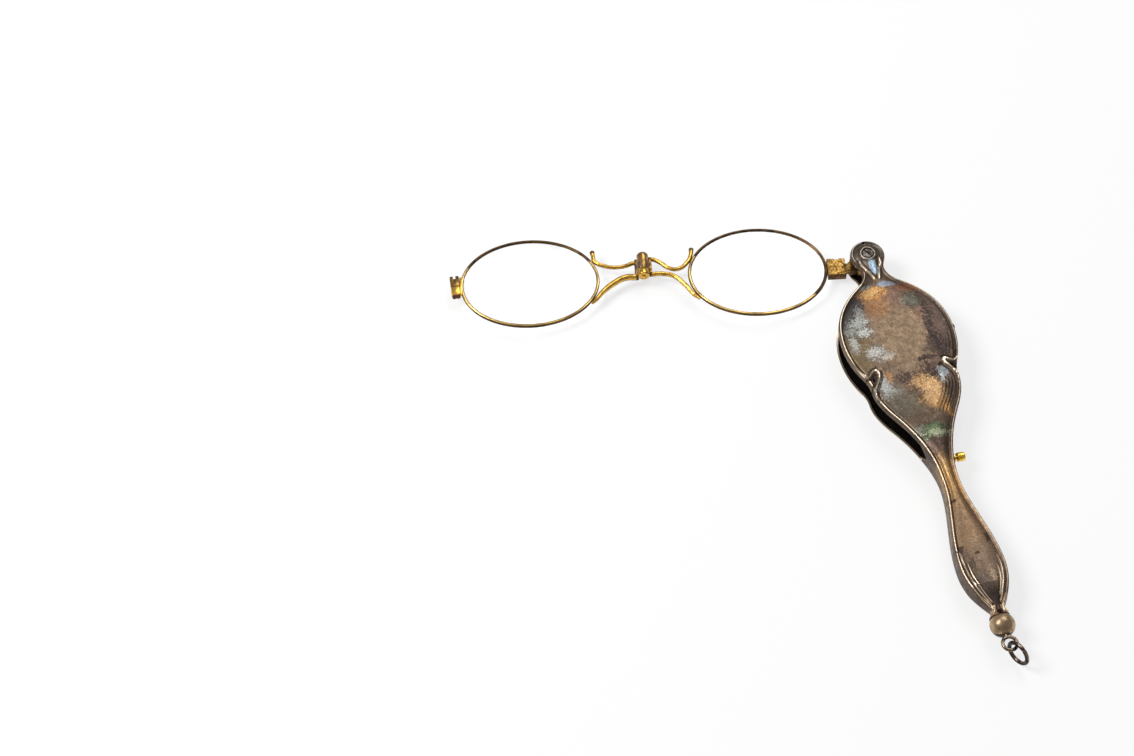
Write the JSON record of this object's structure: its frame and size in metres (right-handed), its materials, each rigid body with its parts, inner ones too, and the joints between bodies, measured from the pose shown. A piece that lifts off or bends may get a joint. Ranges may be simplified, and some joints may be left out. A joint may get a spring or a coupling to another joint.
{
  "type": "lorgnette",
  "caption": "Folding pair of oval lenses on a sprung bridge that swings out of the slot in a slim hollow handle with a release button and a hanging ring.",
  "frame": {"origin": "middle of the flat back panel, under the widest part of the lens compartment", "axes": "+Z towards the front panel, +Y towards the pivot screw; the slot and the lenses are on the -X side"},
  "size_m": [0.1293, 0.1544, 0.0094],
  "materials": {
    "case_plate": "worn plated brass, satin",
    "gilt_brass": "gilt, tarnished in the corners",
    "spring_steel": "spring steel",
    "dark_steel": "aged steel, rust-brown",
    "lens_glass": "clear polished glass"
  },
  "bodies": {
    "case": {"front_shell": "case_plate", "back_shell": "case_plate", "pivot_screw": "dark_steel", "front_washer": "gilt_brass", "back_washer": "gilt_brass", "opening_spring": "spring_steel", "spring_rivet": "case_plate", "button_bush": "gilt_brass", "catch_pin": "spring_steel", "catch_spring": "spring_steel", "ball_finial": "case_plate", "bail_eye": "case_plate"},
    "arm": {"pivot_arm": "gilt_brass", "near_joint_upper": "gilt_brass", "near_joint_lower": "gilt_brass", "near_joint_screw": "dark_steel", "near_rim": "gilt_brass", "near_lens": "lens_glass", "near_bridge_wires": "gilt_brass", "hinge_barrel": "gilt_brass", "bridge_spring": "spring_steel"},
    "far_half": {"hinge_collar": "gilt_brass", "hinge_pin": "gilt_brass", "far_bridge_wires": "gilt_brass", "far_rim": "gilt_brass", "far_lens": "lens_glass", "far_joint_upper": "gilt_brass", "far_joint_lower": "gilt_brass", "far_joint_screw": "dark_steel"},
    "button": {"button_cap": "gilt_brass", "button_stem": "gilt_brass"},
    "catch": {"catch_lever": "gilt_brass"},
    "bail": {"bail_ring": "case_plate"}
  },
  "joints": [
    {"name": "arm_swing", "type": "hinge", "parent": "case", "child": "arm", "pos_m": [0, 0.02802, 0.003], "axis": [0, 0, 1], "range_deg": [0, 86], "stiffness_Nm_per_rad": 0.004, "springref_deg": -34.38},
    {"name": "bridge_fold", "type": "hinge", "parent": "arm", "child": "far_half", "pos_m": [-0.06042, 0.03802, 0.004], "axis": [0.1633, 0.9866, 0], "range_deg": [0, 180], "stiffness_Nm_per_rad": 0.0008, "springref_deg": -34.38},
    {"name": "button_press", "type": "slide", "parent": "case", "child": "button", "axis": [-1, 0, 0], "range_m": [0, 0.0005], "stiffness_N_per_m": 1500, "springref_m": -0.0005},
    {"name": "catch_turn", "type": "hinge", "parent": "case", "child": "catch", "pos_m": [0, -0.05202, 0.0047], "axis": [0, 0, 1], "range_deg": [0, 3.2]},
    {"name": "ring_swing", "type": "hinge", "parent": "case", "child": "bail", "pos_m": [0.00068, -0.09243, 0.0052], "axis": [0.9219, 0.3875, 0], "range_deg": [-40, 20]}
  ],
  "couplings": [
    {"joint": "catch_turn", "follows": "button_press", "rad_per_m": 68.966}
  ]
}
